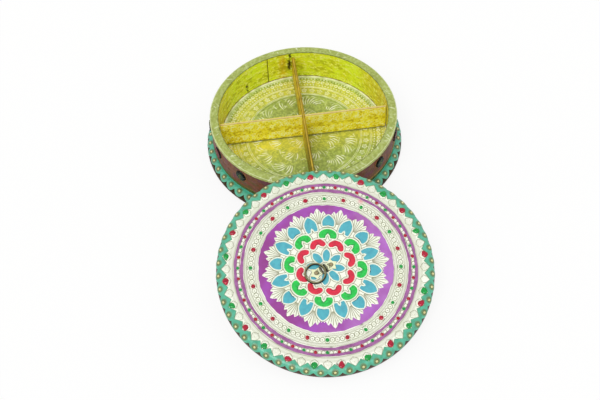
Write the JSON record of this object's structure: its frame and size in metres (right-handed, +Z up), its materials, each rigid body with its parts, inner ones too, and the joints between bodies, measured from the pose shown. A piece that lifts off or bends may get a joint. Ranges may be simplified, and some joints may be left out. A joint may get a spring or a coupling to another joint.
{
  "type": "round compartment box",
  "caption": "Round painted wooden box clad in embossed sheet metal, with lift-out dividers, a loose lid that leans on its rim, and a ring pull on the lid.",
  "frame": {"origin": "centre of the box's underside, on the surface that it stands on", "axes": "+Z up out of the box, -Y towards the lid that leans on the rim, +X along the long divider to the right of someone who faces the box across the lid"},
  "size_m": [0.2038, 0.3785, 0.0607],
  "materials": {
    "wood": "sanded and stained brown, bare at the edges",
    "dark_foil": "dark maroon lacquer over embossed foil",
    "teal_enamel": "glossy raised enamel paint",
    "plum_enamel": "translucent plum lacquer over embossed foil",
    "purple_enamel": "satin raised enamel paint",
    "blue_enamel": "satin raised enamel paint",
    "green_enamel": "satin raised enamel paint",
    "red_enamel": "satin raised enamel paint",
    "olive_foil": "embossed foil with an olive lacquer",
    "gold_foil": "embossed foil with a golden lacquer",
    "silver_foil": "embossed white metal foil",
    "red_stone": "cut glass backed with foil",
    "green_stone": "cut glass backed with foil",
    "dark_red_stone": "cut glass backed with foil",
    "dark_green_stone": "cut glass backed with foil",
    "brass": "polished pale brass"
  },
  "bodies": {
    "box": {"base_board": "wood", "foot_sheet": "dark_foil", "foot_enamel": "teal_enamel", "wall_hoop": "wood", "wall_sheet": "plum_enamel", "rim_sheet": "olive_foil", "wall_lining": "gold_foil", "floor_lining": "gold_foil", "wall_stone_01": "dark_red_stone", "wall_stone_02": "dark_green_stone", "wall_stone_03": "dark_red_stone", "wall_stone_04": "dark_green_stone", "wall_stone_05": "dark_red_stone", "wall_stone_06": "dark_green_stone", "wall_stone_07": "dark_red_stone", "wall_stone_08": "dark_green_stone", "wall_stone_09": "dark_red_stone", "wall_stone_10": "dark_green_stone", "wall_stone_11": "dark_red_stone", "wall_stone_12": "dark_green_stone", "wall_stone_13": "dark_red_stone", "wall_stone_14": "dark_green_stone", "wall_stone_15": "dark_red_stone"},
    "long_divider": {"long_divider": "wood", "long_divider_foil": "gold_foil"},
    "cross_divider": {"cross_divider": "wood", "cross_divider_foil": "gold_foil"},
    "lid": {"lid_board": "wood", "lid_sheet": "silver_foil", "lid_plug_disc": "wood", "lid_edge_enamel": "teal_enamel", "lid_ground_enamel": "purple_enamel", "lid_stone_01": "red_stone", "lid_stone_02": "green_stone", "lid_stone_03": "red_stone", "lid_stone_04": "green_stone", "lid_stone_05": "red_stone", "lid_stone_06": "green_stone", "lid_stone_07": "red_stone", "lid_stone_08": "green_stone", "lid_stone_09": "red_stone", "lid_stone_10": "green_stone", "lid_stone_11": "red_stone", "lid_stone_12": "green_stone", "lid_stone_13": "red_stone", "lid_stone_14": "green_stone", "lid_stone_15": "red_stone", "lid_stone_16": "green_stone", "lid_stone_17": "red_stone", "lid_stone_18": "green_stone", "lid_stone_19": "red_stone", "lid_stone_20": "green_stone", "lid_stone_21": "red_stone", "lid_stone_22": "green_stone", "lid_stone_23": "red_stone", "lid_stone_24": "green_stone", "pull_plate": "brass", "pull_nail_01": "brass", "pull_nail_02": "brass"},
    "pull_ring": {"pull_ring": "brass"}
  },
  "joints": [
    {"name": "lid_lift", "type": "slide", "parent": "box", "child": "lid", "axis": [0, 0, 1], "range_m": [0, 0.12]},
    {"name": "ring_swing", "type": "hinge", "parent": "lid", "child": "pull_ring", "pos_m": [-0.0059, -0.18498, 0.03799], "axis": [-0.4067, 0.8841, 0.2301], "range_deg": [0, 175.4]},
    {"name": "long_divider_lift", "type": "slide", "parent": "box", "child": "long_divider", "axis": [0, 0, 1], "range_m": [0, 0.04]},
    {"name": "cross_divider_lift", "type": "slide", "parent": "long_divider", "child": "cross_divider", "axis": [0, 0, 1], "range_m": [0, 0.04]}
  ]
}
